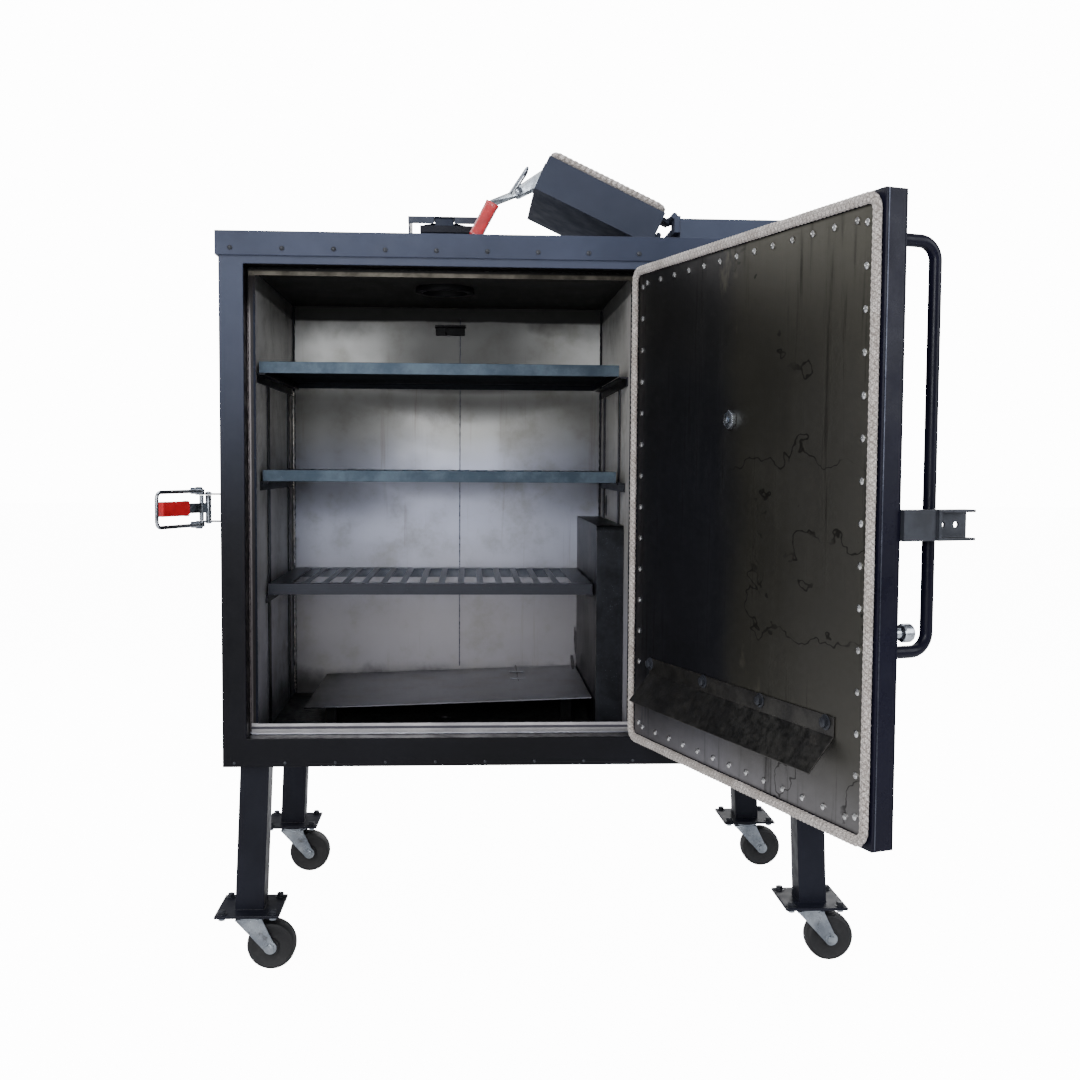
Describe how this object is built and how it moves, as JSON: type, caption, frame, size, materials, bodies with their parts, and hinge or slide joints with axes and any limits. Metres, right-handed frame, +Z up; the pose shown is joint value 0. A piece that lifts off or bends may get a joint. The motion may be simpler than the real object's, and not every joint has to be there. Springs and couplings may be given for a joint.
{
  "type": "cabinet smoker",
  "caption": "Insulated gravity-fed cabinet smoker on casters: inset gasketed door open on sliding racks, charcoal chute with hinged lid, firebox and low exhaust stack.",
  "frame": {"origin": "centre of the bounding box at floor level, with the door open as it is stored", "axes": "+Z up, +X to the right of a person facing the door, +Y to the back"},
  "size_m": [1.4262, 1.559, 1.7109],
  "materials": {
    "coat": "satin black powder coat",
    "liner": "stainless sheet, smoke stained",
    "dark": "stainless sheet, seasoned dark",
    "bright": "stainless, bright",
    "rack": "blued steel",
    "zinc": "zinc plated",
    "rope": "braided glass fibre rope",
    "wool": "mineral wool",
    "plate": "heavy black steel",
    "wheel": "hard black rubber"
  },
  "bodies": {
    "cabinet": {"ash_pan": "plate", "back_panel": "coat", "bottom_panel": "coat", "charcoal_chute": "coat", "door_hinge_frame_high": "coat", "door_hinge_frame_low": "coat", "door_latch_bracket": "zinc", "drip_plate": "dark", "exhaust_pipe": "coat", "fire_grate": "plate", "firebox": "plate", "front_frame": "coat", "heat_duct": "dark", "insulation_jacket": "wool", "left_side_panel": "coat", "leg_back_left": "coat", "leg_back_right": "coat", "leg_front_left": "coat", "leg_front_right": "coat", "liner_back_wall": "liner", "liner_ceiling": "liner", "liner_floor": "liner", "liner_left_wall": "liner", "liner_right_wall": "liner", "rack_rails_left": "dark", "rack_rails_right": "dark", "right_side_panel": "coat", "roof_cap": "coat", "seal_flange": "bright"},
    "door": {"door_pan": "coat", "door_insulation": "wool", "door_inner_panel": "dark", "door_gasket": "rope", "probe_port": "zinc", "door_drip_lip": "dark", "door_handle": "coat", "door_strike": "plate", "side_dial": "bright"},
    "upper_rack": {"rack_upper": "rack"},
    "middle_rack": {"rack_middle": "rack"},
    "lower_rack": {"rack_lower": "rack"},
    "lid": {"chute_lid": "coat", "chute_lid_gasket": "rope", "chute_latch_bracket": "zinc"},
    "lid_lever": {"chute_latch_lever": "zinc"},
    "lid_hook": {"chute_latch_hook": "zinc"},
    "side_lever": {"door_latch_lever": "zinc"},
    "side_hook": {"door_latch_hook": "zinc"},
    "fire_door": {"firebox_door": "coat"},
    "spinner": {"draught_spinner": "zinc"},
    "flap": {"exhaust_flap": "coat"},
    "caster_front_left_swivel": {"caster_front_left_fork": "zinc"},
    "caster_front_left_roll": {"caster_front_left_wheel": "wheel"},
    "caster_back_left_swivel": {"caster_back_left_fork": "zinc"},
    "caster_back_left_roll": {"caster_back_left_wheel": "wheel"},
    "caster_front_right_swivel": {"caster_front_right_fork": "zinc"},
    "caster_front_right_roll": {"caster_front_right_wheel": "wheel"},
    "caster_back_right_swivel": {"caster_back_right_fork": "zinc"},
    "caster_back_right_roll": {"caster_back_right_wheel": "wheel"}
  },
  "joints": [
    {"name": "chamber_door", "type": "hinge", "parent": "cabinet", "child": "door", "pos_m": [0.24893, 0.00099, 0.977], "axis": [0, 0, 1], "range_deg": [-108.5, 25]},
    {"name": "upper_rack_slide", "type": "slide", "parent": "cabinet", "child": "upper_rack", "axis": [0, -1, 0], "range_m": [0, 0.35]},
    {"name": "middle_rack_slide", "type": "slide", "parent": "cabinet", "child": "middle_rack", "axis": [0, -1, 0], "range_m": [0, 0.35]},
    {"name": "lower_rack_slide", "type": "slide", "parent": "cabinet", "child": "lower_rack", "axis": [0, -1, 0], "range_m": [0, 0.35]},
    {"name": "chute_lid", "type": "hinge", "parent": "cabinet", "child": "lid", "pos_m": [0.31693, 0.01349, 1.584], "axis": [0, 1, 0], "range_deg": [0, 155]},
    {"name": "lid_latch_lever", "type": "hinge", "parent": "lid", "child": "lid_lever", "pos_m": [-0.01116, 0.17849, 1.63592], "axis": [0, 1, 0], "range_deg": [-3, 12]},
    {"name": "lid_latch_hook", "type": "hinge", "parent": "lid_lever", "child": "lid_hook", "pos_m": [-0.02969, 0.17849, 1.62838], "axis": [0, 1, 0], "range_deg": [-40, 2]},
    {"name": "side_latch_lever", "type": "hinge", "parent": "cabinet", "child": "side_lever", "pos_m": [-0.64307, 0.05849, 0.9675], "axis": [0, 0, 1], "range_deg": [-150, 10]},
    {"name": "side_latch_hook", "type": "hinge", "parent": "side_lever", "child": "side_hook", "pos_m": [-0.65307, 0.04117, 0.9675], "axis": [0, 0, 1], "range_deg": [-5, 40]},
    {"name": "firebox_door", "type": "hinge", "parent": "cabinet", "child": "fire_door", "pos_m": [0.64043, -0.00001, 0.718], "axis": [0, 0, 1], "range_deg": [0, 110]},
    {"name": "draught_spinner", "type": "hinge", "parent": "fire_door", "child": "spinner", "pos_m": [0.46793, -0.00911, 0.668], "axis": [0, 1, 0], "range_deg": [0, 60]},
    {"name": "exhaust_flap", "type": "hinge", "parent": "cabinet", "child": "flap", "pos_m": [-0.16807, 0.20049, 1.582], "axis": [1, 0, 0], "range_deg": [-8, 70]},
    {"name": "caster_front_left_swivel", "type": "hinge", "parent": "cabinet", "child": "caster_front_left_swivel", "pos_m": [-0.56647, 0.08249, 0.11], "axis": [0, 0, 1], "continuous": true},
    {"name": "caster_front_left_roll", "type": "hinge", "parent": "caster_front_left_swivel", "child": "caster_front_left_roll", "pos_m": [-0.52447, 0.08249, 0.0508], "axis": [0, 1, 0], "continuous": true},
    {"name": "caster_back_left_swivel", "type": "hinge", "parent": "cabinet", "child": "caster_back_left_swivel", "pos_m": [-0.56647, 0.71349, 0.11], "axis": [0, 0, 1], "continuous": true},
    {"name": "caster_back_left_roll", "type": "hinge", "parent": "caster_back_left_swivel", "child": "caster_back_left_roll", "pos_m": [-0.52447, 0.71349, 0.0508], "axis": [0, 1, 0], "continuous": true},
    {"name": "caster_front_right_swivel", "type": "hinge", "parent": "cabinet", "child": "caster_front_right_swivel", "pos_m": [0.62033, 0.08249, 0.11], "axis": [0, 0, 1], "continuous": true},
    {"name": "caster_front_right_roll", "type": "hinge", "parent": "caster_front_right_swivel", "child": "caster_front_right_roll", "pos_m": [0.66233, 0.08249, 0.0508], "axis": [0, 1, 0], "continuous": true},
    {"name": "caster_back_right_swivel", "type": "hinge", "parent": "cabinet", "child": "caster_back_right_swivel", "pos_m": [0.62033, 0.71349, 0.11], "axis": [0, 0, 1], "continuous": true},
    {"name": "caster_back_right_roll", "type": "hinge", "parent": "caster_back_right_swivel", "child": "caster_back_right_roll", "pos_m": [0.66233, 0.71349, 0.0508], "axis": [0, 1, 0], "continuous": true}
  ]
}
